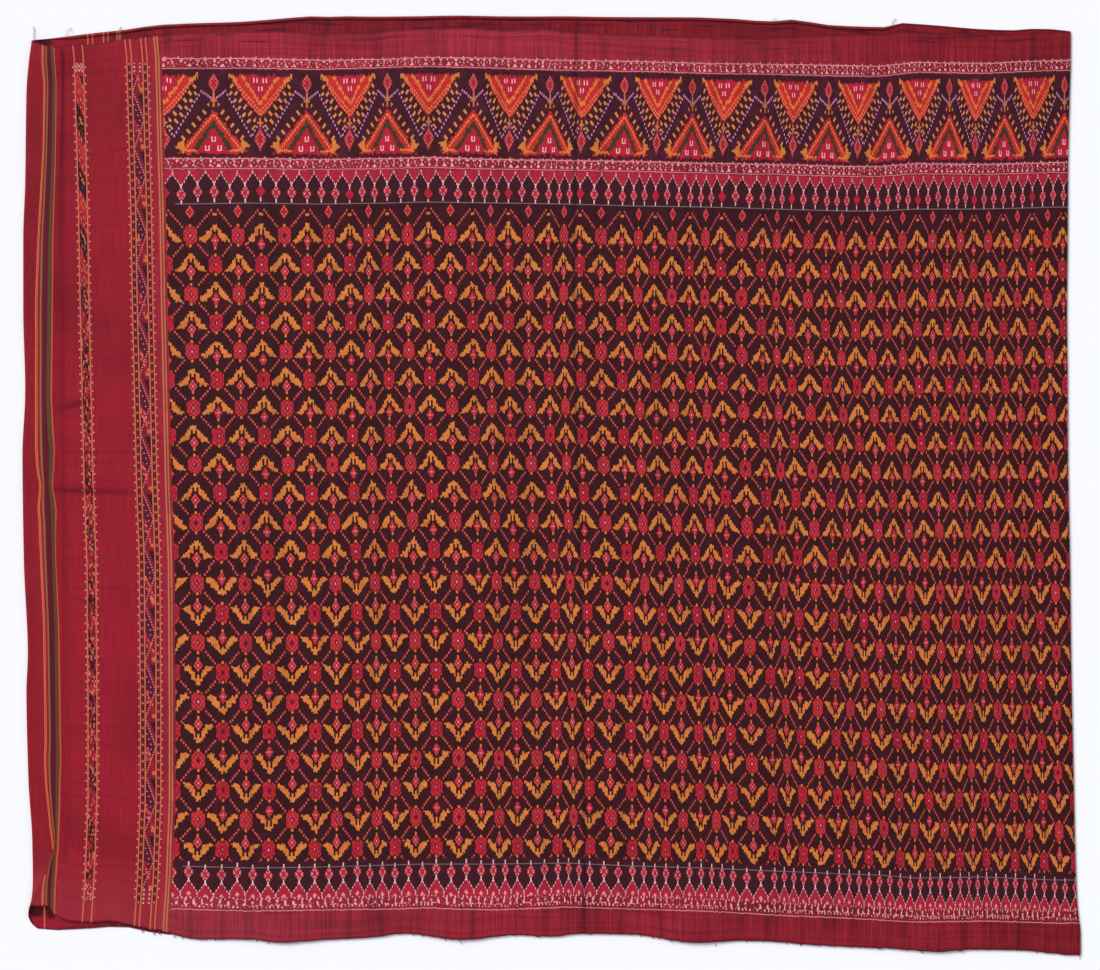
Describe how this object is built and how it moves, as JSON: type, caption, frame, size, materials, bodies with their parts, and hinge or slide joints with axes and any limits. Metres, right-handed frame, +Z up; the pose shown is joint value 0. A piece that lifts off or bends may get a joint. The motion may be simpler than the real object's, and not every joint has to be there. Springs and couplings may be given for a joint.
{
  "type": "ikat tube skirt cloth",
  "caption": "Tube skirt of weft-ikat silk, sewn end to end into a loop and laid flat, to wrap round the waist; striped ends, a triangle border and a field of chevrons and rosettes",
  "frame": {"origin": "middle of the underside's bounding box, on the surface that the cloth lies on", "axes": "+X runs from the left fold, beside the seam, to the right fold; +Y from the hem to the waist rim; +Z up off the surface"},
  "size_m": [1.0587, 0.9402, 0.0056],
  "materials": {
    "silk": "plain-woven silk with a soft sheen, crimson ground, dark ikat field"
  },
  "bodies": {
    "root": {"skirt_cloth": "silk"}
  },
  "joints": []
}
